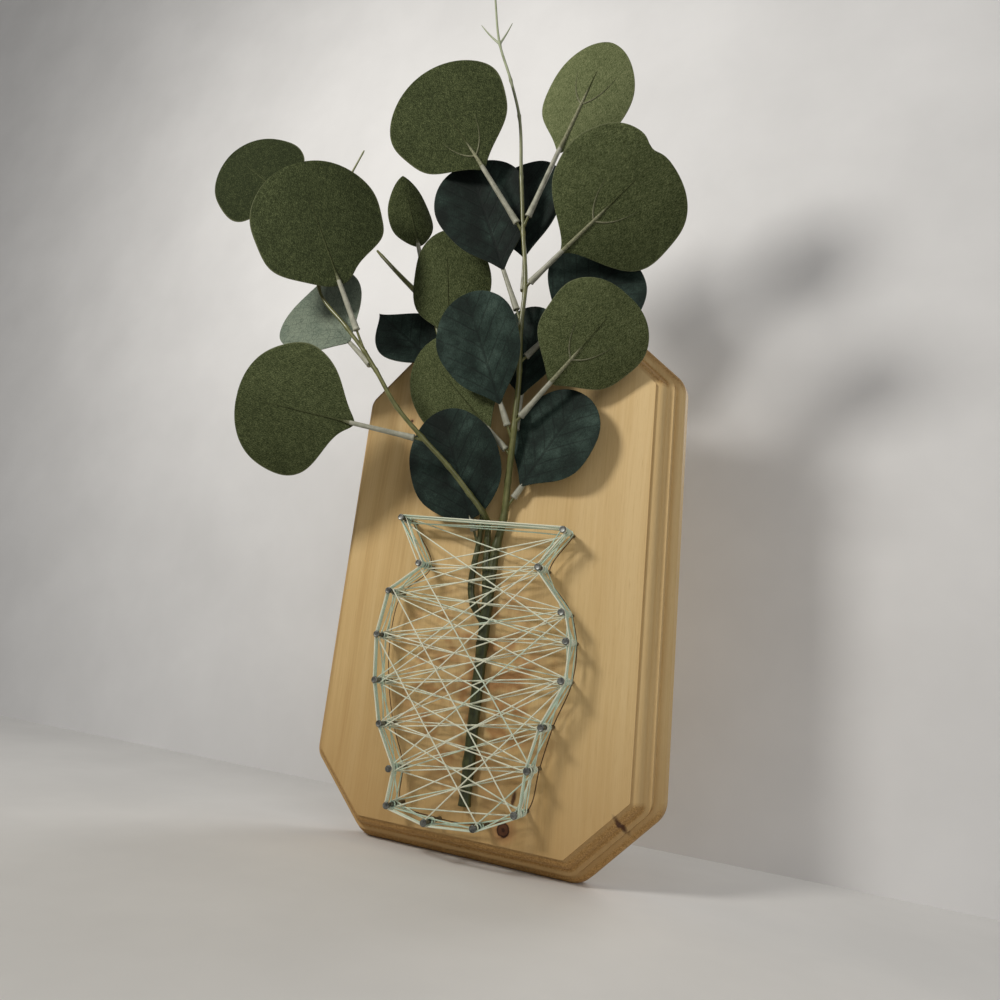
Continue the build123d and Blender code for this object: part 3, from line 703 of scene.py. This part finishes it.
# leaves: branch, foot height, clock, lean, roll, stalk, length, width, cup radius,
# +1 where the underside faces out, how far along the blade is widest
leaves = [
    ("left", 127, -52, 12, 10, 26, 38, 44, 60, 1, 0.52),
    ("left", 77, -21, 19, 26, 28, 52, 53, 70, 1, 0.58),
    ("left", 69, -48, -2, 6, 21, 38, 40, 60, -1, 0.55),
    ("left", 45, -81, 22, -11, 28, 48, 52, 70, 1, 0.58),
    ("middle", 78, -52, 3, 28, 10.5, 37, 30, 40, -1, 0.42),
    ("middle", 119, -14, 13, 40, 16, 33, 20, 18, 1, 0.5),
    ("middle", 78, -2, 15, 5, 17, 43, 36, 50, 1, 0.5),
    ("main", 128, -32, 24, -2, 29, 45, 46, 70, 1, 0.6),
    ("main", 93, -21, 9, 15, 23, 48, 37, 60, -1, 0.6),
    ("main", 98, -6, -5, 0, 24, 46, 34, 60, -1, 0.58),
    ("main", 130, 25, 7, 8, 31, 45, 35, 60, 1, 0.54),
    ("main", 107, 57, 14, 32, 18, 48, 50, 80, 1, 0.58),
    ("main", 78, 41, -7, 20, 20, 37, 40, 60, -1, 0.55),
    ("main", 55, 47, 12, 32, 20, 41, 40, 80, 1, 0.56),
    ("main", 48, -17, 20, -5, 15, 43, 34, 60, -1, 0.58),
    ("main", 43, -43, 9, -10, 14, 46, 41, 60, 1, 0.56),
    ("middle", 8, -18, 11, 0, 12, 44, 38, 90, -1, 0.52),
    ("main", 23, 34, 2, -6, 11, 41, 35, 120, -1, 0.56),
    ("main", 38, 4, 1.5, 0, 29, 36, 26, 80, -1, 0.55),
]


def onBranch(name, up):
    # point (metres), radius (mm) and direction of a branch at a height, on the straight between its points
    rows = np.array(branches[name])
    at = max(1, min(np.searchsorted(rows[:, 2], up), len(rows) - 1))
    below, above = rows[at - 1], rows[at]
    spot = below + (above - below) * (up - below[2]) / (above[2] - below[2])
    return place(spot[:3]), spot[3], unit(place(above[:3]) - place(below[:3]))


def leafAxes(clock, lean, roll):
    # direction of the midrib, and of the face shown to the front turned about it by roll
    c, n, r = np.radians([clock, lean, roll])
    tip = np.array([np.cos(n) * np.sin(c), -np.sin(n), np.cos(n) * np.cos(c)])
    face = unit(front - tip * front.dot(tip))
    return tip, face * np.cos(r) + np.cross(tip, face) * np.sin(r)


def socketStart(name, up, tip):
    # how far along the leaf's line (mm) its socket clears the branch
    radius, run = onBranch(name, up)[1:]
    if up == branches[name][-1][2]:
        return radius + spray["swell"] + spray["socketGap"]
    crossing = abs(run.dot(tip))
    reach = radius + spray["swell"] + spray["socket"] * crossing
    return reach / np.sqrt(1 - crossing**2) + spray["socketGap"]


def stemTube(name, rows):
    # a smooth path through the rows; radius eases between them and swells at each node and leaf scar
    path, along = smoothPath(place(rows[:, :3]) / mm, spray["step"])
    upright = path[:, 2] - middleZ / mm
    lengths = np.linalg.norm(np.diff(rows[:, :3], axis=0), axis=1)
    away = np.abs(along - np.round(along)) * np.interp(along, np.arange(len(lengths)) + 0.5, lengths)
    radii = np.interp(along, np.arange(len(rows)), rows[:, 3])
    radii = radii + spray["swell"] * np.exp(-(away / spray["swellReach"]) ** 2)
    for scar in spray["scars"] if name == "main" else ():
        radii = radii + spray["scarSwell"] * np.exp(-((upright - scar) / spray["scarReach"]) ** 2)
    radii[-1] *= spray["endShare"]
    low = np.clip((spray["widenUnder"] - upright) / spray["widenOver"], 0, 1)[:, None]
    flatter = 1 + spray["widen"] * low * np.cos(ringAngles(spray["stemSides"])) ** 2
    return tube(path * mm, radii[:, None] * mm * flatter, spray["stemSides"])


def bareProng(branch, up, end, footRadius, tipRadius, flare):
    # a straight line that sags by half a sine, with a blunt tip
    start, finish = onBranch(branch, up)[0], place(end)
    t = np.linspace(0, 1, 12)
    sag = np.sin(np.pi * t)[:, None] * np.array([0.0, 0.0, -spray["sag"] * mm])
    taper = np.interp(t, [0, 0.92, 0.97, 1], [footRadius, tipRadius, tipRadius * 0.9, tipRadius * 0.5])
    shape = flare * (0.12 + 0.9 * np.exp(-t / 0.5)) + taper
    return tube(start + (finish - start) * t[:, None] + sag, mm * shape, spray["bareSides"])


def leafProng(branch, up, clock, lean, roll):
    # the peg that a leaf's socket is pushed on
    foot = onBranch(branch, up)[0]
    tip = leafAxes(clock, lean, roll)[0]
    reach = socketStart(branch, up, tip) + spray["prongLength"] - 0.1
    t = np.linspace(0, 1, 5)[:, None]
    shape = mm * spray["prong"] * np.array([1.5, 1.1, 0.98, 0.96, 0.9])
    return tube(foot + tip * reach * mm * t, shape, spray["prongSides"])


def makeStems():
    for name, rows in branches.items():
        parts = [stemTube(name, np.array(rows))]
        parts += [bareProng(*prong) for prong in bareProngs if prong[0] == name]
        parts += [leafProng(*row[:5]) for row in leaves if row[0] == name]
        points, faces, uv = joinParts(parts)
        piece = addPiece(name + "Stem", "spray", points, faces, [stemGreen], uv)
        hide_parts(name + "_stem")


makeStems()
print("stems made")


# per leaf: tipPower blunts the tip, notch (mm) cuts the tip, bay draws the foot in on the + (left) or - side,
# sweep (mm) bends it sideways, fold turns the cup into a crease, bend (mm) drops the tip, tint lightens
# (partly the leaf's own tone, partly painted light on the leaves the lamp catches), ribs shows the veins,
# pale is how far up the blade the rib stays pale, wedge narrows the foot, broad widens it all, and widest
# stands in for the value in the leaf's row
leafForm = {"tipPower": 0.5, "notch": 0.0, "bay": 0.0, "sweep": 0.0, "fold": 0.0, "bend": 1.0, "tintAndLight": 0.0,
            "ribs": 0.02, "pale": 0.0, "wedge": 0.55, "broad": 1.0}
leafForms = {
    1: {"tintAndLight": -0.15},
    2: {"tintAndLight": -0.06, "tipPower": 0.45, "widest": 0.51, "wedge": 0.36, "bay": -0.3},
    3: {"tintAndLight": 0.34, "bend": -1.5, "fold": 0.5},
    4: {"tintAndLight": 0.02, "tipPower": 0.45, "bay": 0.35},
    5: {"tipPower": 1.3, "fold": 0.6, "wedge": 0.0},
    6: {"tintAndLight": 0.02, "tipPower": 0.8, "widest": 0.42, "wedge": 0.2, "fold": 0.4},
    7: {"tintAndLight": 0.02},
    8: {"tintAndLight": -0.03, "ribs": 0.03, "pale": 0.2, "sweep": 3.5, "broad": 1.09},
    9: {"tintAndLight": -0.1, "fold": 0.7},
    10: {"tintAndLight": -0.03, "fold": 0.7},
    11: {"tintAndLight": 0.19, "ribs": 0.06, "pale": 0.5, "tipPower": 0.55},
    12: {"tintAndLight": 0.05, "ribs": 0.04, "pale": 0.4, "tipPower": 0.4, "notch": 1.8, "wedge": 0.84,
         "broad": 1.06},
    13: {"fold": 0.6},
    14: {"tintAndLight": 0.09, "ribs": 0.04, "pale": 0.34, "tipPower": 0.42},
    15: {"tintAndLight": 0.05, "fold": 0.7},
    16: {"tintAndLight": 0.08},
    17: {"tintAndLight": -0.03, "fold": 0.7, "wedge": 0.12, "widest": 0.48},
    18: {"tintAndLight": 0.03, "fold": 0.6},
    19: {"fold": 0.6},
}
leafGrid = {"along": 66, "across": 53, "wave": 0.5, "ripples": (0.022, 0.014), "crease": 2.0, "edge": 0.025,
            "wedgeReach": 0.17, "bayAt": 0.1, "bayReach": 0.13, "notchAt": 4.0, "notchReach": 3.6}


def leafShape(number, row):
    # the row and the form of one leaf, with its directions and the blade's foot
    branch, up, clock, lean, roll, stalk, length, width, cup, under, widest = row
    foot = onBranch(branch, up)[0]
    tip, face = leafAxes(clock, lean, roll)
    raised = spray["rib"] + spray["blade"] / 2
    return {"widest": widest, **leafForm, **leafForms.get(number, {}), "number": number,
            "cup": cup, "length": length, "width": width, "stalk": stalk, "foot": foot, "tip": tip,
            "under": face * under, "side": np.cross(face, tip), "phase": 1.7 * number,
            "near": socketStart(branch, up, tip), "base": foot + (tip * stalk - face * under * raised) * mm}


def bladePoint(leaf, x, y, lift):
    # x along, y across; depth under the midrib is (1 - fold) * cup circle + fold * crease, both reaching the
    # same depth at the edge; then the tip drops by bend * share^2 and sweeps aside by sweep * share^2
    angle, half, soft = y / leaf["cup"], leaf["width"] / 2, leafGrid["crease"]
    share = np.clip(x / leaf["length"], 0, 1.05)
    dip = leaf["cup"] * (1 - np.cos(angle))
    deepest = leaf["cup"] * (1 - np.cos(half / leaf["cup"]))
    crease = deepest * (np.sqrt(y**2 + soft**2) - soft) / (np.sqrt(half**2 + soft**2) - soft)
    deep = -(1 - leaf["fold"]) * dip - leaf["fold"] * crease - leaf["bend"] * share**2
    wave = leafGrid["wave"] * np.sin(leaf["phase"] + 5.0 * share + 2.2 * np.sign(y))
    deep = deep + wave * (np.abs(y) / half) ** 3
    reach = leaf["cup"] * np.sin(angle) + leaf["sweep"] * share**2
    out = (deep + lift)[..., None] * leaf["under"] + reach[..., None] * leaf["side"]
    return leaf["base"] + (out + x[..., None] * leaf["tip"]) * mm


def bladeOutline(leaf, s, t):
    # half-width over the greatest: s^p (1 - s)^q over its peak, p from where the peak lies;
    # wedge and bay narrow the foot by bell curves
    q, widest = leaf["tipPower"], leaf["widest"]
    p = q * widest / (1 - widest)
    half = s**p * (1 - s) ** q / (widest**p * (1 - widest) ** q)
    half = half * (1 - leaf["wedge"] * np.exp(-((s / leafGrid["wedgeReach"]) ** 2)))
    bay = abs(leaf["bay"]) * np.exp(-((s - leafGrid["bayAt"]) / leafGrid["bayReach"]) ** 2)
    return half * (1 - bay * np.clip(t * np.sign(leaf["bay"]) * 4, 0, 1))


def bladeGrid(leaf):
    # s along, bunched at both ends, t across, bunched at the edges; x and y are the same in mm
    s = (1 - np.cos(np.pi * np.linspace(0.035, 0.965, leafGrid["along"]))) / 2
    s = (s - s[0]) / (s[-1] - s[0]) * 0.997 + 0.0015
    t = np.sin(np.pi / 2 * np.linspace(-1, 1, leafGrid["across"]))
    s, t = np.meshgrid(s, t, indexing="ij")
    number, (slow, quick) = leaf["number"], leafGrid["ripples"]
    ripple = 1 + slow * np.sin(7 * s + number) + quick * np.sin(13 * s * np.sign(t) + 2.1 * number)
    y = leaf["width"] / 2 * leaf["broad"] * bladeOutline(leaf, s, t) * ripple * t
    notch = leaf["notch"] * np.exp(-((y - leafGrid["notchAt"]) / leafGrid["notchReach"]) ** 2)
    return s, t, leaf["length"] * s - notch * s**10, y


def turnedIn(points, faces):
    # a closed mesh whose signed volume is negative faces inwards
    a, b, c, d = (points[faces[:, k]] - points.mean(0) for k in range(4))
    return (np.cross(a, b) * c).sum() + (np.cross(a, c) * d).sum() < 0


def makeBladePiece(leaf):
    # two grids half a thickness off the blade's middle, joined round the edge, where the sheet is thinner
    s, t, x, y = bladeGrid(leaf)
    thick = spray["blade"] / 2 * (0.45 + 0.55 * np.sqrt(np.clip(1 - np.abs(t) ** 6, 0, 1)))
    lower, upper = bladePoint(leaf, x, y, thick), bladePoint(leaf, x, y, -thick)
    points = np.concatenate([lower.reshape(-1, 3), upper.reshape(-1, 3)])
    faces = gridFaces(*s.shape, False)[0]
    size = s.size
    ids = np.arange(size).reshape(s.shape)
    ring = np.concatenate([ids[0, :-1], ids[:-1, -1], ids[-1, :0:-1], ids[:0:-1, 0]])
    rim = np.stack([ring, np.roll(ring, -1), np.roll(ring, -1) + size, ring + size], -1)
    kinds = np.repeat([0, 1, 2], [len(faces), len(faces), len(rim)])
    faces = np.concatenate([faces[:, ::-1], faces + size, rim])
    if turnedIn(points, faces):
        faces = faces[:, ::-1]
    flat = np.stack([y / leafLook["unit"] + 0.5, x / leafLook["unit"]], -1).reshape(-1, 2)
    uv = np.tile(flat, (2, 1))[faces.ravel()]
    edge = np.clip((np.abs(t) - (1 - leafGrid["edge"])) / leafGrid["edge"], 0, 1).ravel()
    floats = {key: np.full(2 * size, leaf[key]) for key in ("ribs", "tintAndLight")}
    floats["edge"] = np.tile(edge, 2)
    name, materials = f"leafBlade{leaf['number']:02d}", [leafUnder, leafUpper, leafCutHighlight]
    piece = addPiece(name, "spray", points, list(faces), materials, uv, floats, kinds)
    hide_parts(f"leaf_blade_{leaf['number']:02d}")


# stalks: (distance, radius) in mm past the branch and past the blade's foot, then the midrib on the blade
stalkForm = {
    "socket": [(0, 1.1), (0.12, 1.38), (0.7, 1.4), (0.95, 1.27), (3.0, 1.24), (4.2, 1.18), (6.5, 1.06)],
    "neck": [(-0.5, 0.9), (1.5, 0.84)], "sides": 12,
    "ribFrom": 1.8, "ribTo": 0.74, "ribLift": 0.1, "ribEase": 6.0, "green": 0.95,
    "veins": ((1, 11.0), (-1, 12.0)), "veinSides": 8,      # side of the rib, reach
}


def sideVein(leaf, side, reach):
    # a raised vein that leaves the end of the pale rib and bows towards the tip
    t = np.linspace(0, 1, 16)
    y = reach * t * (1 - 0.3 * t)
    x = leaf["length"] * (leaf["pale"] - 0.06) + 1.1 * reach * t * (0.5 + 0.5 * t)
    vein = bladePoint(leaf, x, side * y, np.full_like(x, spray["blade"] / 2 + 0.03))
    sides = stalkForm["veinSides"]
    onBlade = np.append((0.15 + 0.6 * t).repeat(sides), [0.15, 0.75])
    return tube(vein, mm * np.interp(t, [0, 0.3, 1], [0.36, 0.28, 0.06]), sides), onBlade


def makeStalkPiece(leaf):
    length, foot, tip, pale = (leaf[key] for key in ("length", "foot", "tip", "pale"))
    near, bladeFoot, sides = leaf["near"], leaf["stalk"], stalkForm["sides"]
    # socket, neck and stalk: radius against distance from the branch, less the marks that a short stalk skips
    marks = np.array([(near + gone, radius) for gone, radius in stalkForm["socket"]]
                     + [(bladeFoot + gone, radius) for gone, radius in stalkForm["neck"]])
    marks = marks[np.append(True, np.diff(np.maximum.accumulate(marks[:, 0])) > 1e-6)]
    gone = np.append(np.linspace(near, near + 1.2, 12), np.linspace(near + 1.3, bladeFoot + 1.5, 26))
    line = foot + tip * gone[:, None] * mm
    # the midrib runs on along the blade's underside and thins out, at once or after its pale stretch
    ribFrom, ribTo = stalkForm["ribFrom"], length * stalkForm["ribTo"]
    x = np.linspace(ribFrom, ribTo, 26)
    rib = bladePoint(leaf, x, 0 * x, np.full_like(x, spray["blade"] / 2 + stalkForm["ribLift"]))
    ease = np.clip((x - ribFrom) / stalkForm["ribEase"], 0, 1)[:, None]
    rib = (foot + tip * (bladeFoot + x)[:, None] * mm) * (1 - ease) + rib * ease
    if pale:
        fork = length * pale
        taper = np.interp(x, [ribFrom, fork, fork + 4, ribTo], [0.82, 0.5, 0.27, 0.05])
    else:
        taper = np.interp(x, [ribFrom, 6, length * 0.45, ribTo], [0.74, 0.34, 0.22, 0.05])
    radii = np.append(np.interp(gone, marks[:, 0], marks[:, 1]), taper)
    parts = [tube(np.vstack([line, rib]), radii * mm, sides)]
    share = np.append(gone - bladeFoot, x) / length
    green = np.clip((share - pale) / 0.1, 0, stalkForm["green"])
    onBlade = [np.append(green.repeat(sides), [0, stalkForm["green"]])]
    kinds = [np.append((share[:-1] > 0.02).repeat(sides), np.repeat([0, 1], sides))]
    for side, reach in stalkForm["veins"] if pale else ():
        vein, veinGreen = sideVein(leaf, side, reach)
        parts.append(vein)
        onBlade.append(veinGreen)
        kinds.append(np.ones(len(vein[1])))
    points, faces, uv = joinParts(parts)
    floats, kinds = {"onBlade": np.concatenate(onBlade)}, np.concatenate(kinds)
    name, materials = f"leafStalk{leaf['number']:02d}", [stalkPale, ribFelt]
    piece = addPiece(name, "spray", points, faces, materials, uv, floats, kinds)
    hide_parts(f"leaf_stalk_{leaf['number']:02d}")


for number, row in enumerate(leaves, 1):
    leaf = leafShape(number, row)
    makeBladePiece(leaf)
    makeStalkPiece(leaf)
print("leaves made")


# stage: a pale floor under the plaque's foot and a pale wall a little behind it
stage = {"wallBack": 0.072, "half": 2.2, "height": 1.6, "cloud": 0.93,
         "tones": {"studioFloor": srgb(234, 233, 231), "studioWall": srgb(232, 232, 233)}}


def makeStage():
    half, low, high, back = stage["half"], plaqueLow.z, stage["height"], stage["wallBack"]
    sheets = {
        "studioFloor": [(-half, -half, low), (half, -half, low), (half, half, low), (-half, half, low)],
        "studioWall": [(-half, back, low), (half, back, low), (half, back, high), (-half, back, high)],
    }
    for name, corners in sheets.items():
        material, tree, shader = startMaterial(name, Roughness=0.9, Specular_IOR_Level=0.15)
        tone = stage["tones"][name]
        shades = (tuple(stage["cloud"] * c for c in tone), tone)
        objectSpot(tree).noise(14, 4, 0.55).ramp((0.35, 0.65), shades).into(shader, "Base Color")
        if name == "studioWall":
            # one-sided, and no bar to the lamps, so the back can be seen and lit
            away = field(tree, "NewGeometry", out="Backfacing")
            through = away.maths("MAXIMUM", field(tree, "LightPath", out="Is Shadow Ray"))
            shaders = {0: through, 1: shader.outputs[0], 2: field(tree, "BsdfTransparent")}
            field(tree, "MixShader", shaders).into(tree.nodes["Material Output"], "Surface")
        mesh = bpy.data.meshes.new(name)
        mesh.from_pydata(corners, [], [(0, 1, 2, 3)])
        mesh.materials.append(material)
        sheet = bpy.data.objects.new(name, mesh)
        bpy.context.scene.collection.objects.link(sheet)
        sheet.visible_diffuse = name == "studioFloor"


makeStage()


# light and camera; lamps stand and aim at (x, y, height over the plaque's middle) in metres
lamps = {
    "keyLamp": {"at": (-0.18, -0.36, 0.23), "aim": (0, -0.02, 0.32), "size": 0.11, "power": 1.52,
                "colour": (1.0, 0.965, 0.90)},
    "fillLamp": {"at": (0.9, -0.9, 0.6), "aim": (0, 0, 0.03), "size": 0.9, "power": 3.6,
                 "colour": (1.0, 0.975, 0.94)},
    "backLamp": {"at": (0.5, 1.2, 0.8), "aim": (0, 0, 0.03), "size": 0.9, "power": 6.0,
                 "colour": (1.0, 0.98, 0.96)},
}
room = {"glow": 0.2, "colour": (1.0, 0.985, 0.96, 1), "seen": (0.8, 0.8, 0.82, 1)}
cameraView = {"at": (119.3, -259.6, -34.7), "lens": 26.0, "sensor": 36.0,   # mm
              "right": (0.90866, 0.40364, 0.10686), "down": (0.00268, 0.25028, -0.96817),
              "ahead": (-0.41753, 0.88002, 0.22634)}


def turned(x, y, z, at):
    matrix = np.eye(4)
    matrix[:3, 0], matrix[:3, 1], matrix[:3, 2], matrix[:3, 3] = x, y, z, at
    return Matrix([tuple(row) for row in matrix])


def lookFrom(at, target):
    ahead = unit(np.array(target) - np.array(at))
    right = unit(np.cross(ahead, [0, 0, 1]))
    return turned(right, np.cross(right, ahead), -ahead, at)


def makeLight():
    for name, lamp in lamps.items():
        data = bpy.data.lights.new(name, "AREA")
        data.shape = "DISK"
        data.size, data.energy, data.color = lamp["size"], lamp["power"], lamp["colour"]
        made = bpy.data.objects.new(name, data)
        at, aim = (np.array(lamp[key]) + [0, 0, middleZ] for key in ("at", "aim"))
        made.matrix_world = lookFrom(at, aim)
        bpy.context.scene.collection.objects.link(made)
    world = bpy.data.worlds.new("paleRoom")
    bpy.context.scene.world = world
    world.use_nodes = True
    tree = world.node_tree
    glow = tree.nodes["Background"]
    glow.inputs["Color"].default_value = room["colour"]
    glow.inputs["Strength"].default_value = room["glow"]
    toEye, through = (field(tree, "LightPath", out=ray) for ray in ("Is Camera Ray", "Is Transmission Ray"))
    pale = field(tree, "Background", {"Color": room["seen"], "Strength": 1.0})
    mixed = field(tree, "MixShader", {0: toEye.maths("MAXIMUM", through), 1: glow.outputs[0], 2: pale})
    mixed.into(tree.nodes["World Output"], "Surface")


def makeCamera():
    data = bpy.data.cameras.new("photoCamera")
    data.lens, data.sensor_width = cameraView["lens"], cameraView["sensor"]
    data.clip_start = 0.01
    camera = bpy.data.objects.new("photoCamera", data)
    at = np.array(cameraView["at"]) * mm + [0, 0, middleZ]
    upward, backward = -np.array(cameraView["down"]), -np.array(cameraView["ahead"])
    camera.matrix_world = turned(cameraView["right"], upward, backward, at)
    bpy.context.scene.collection.objects.link(camera)
    bpy.context.scene.camera = camera
    bpy.context.scene.view_settings.view_transform = "Standard"


makeLight()
makeCamera()
print("stage, light and camera made")

bpy.context.view_layer.update()
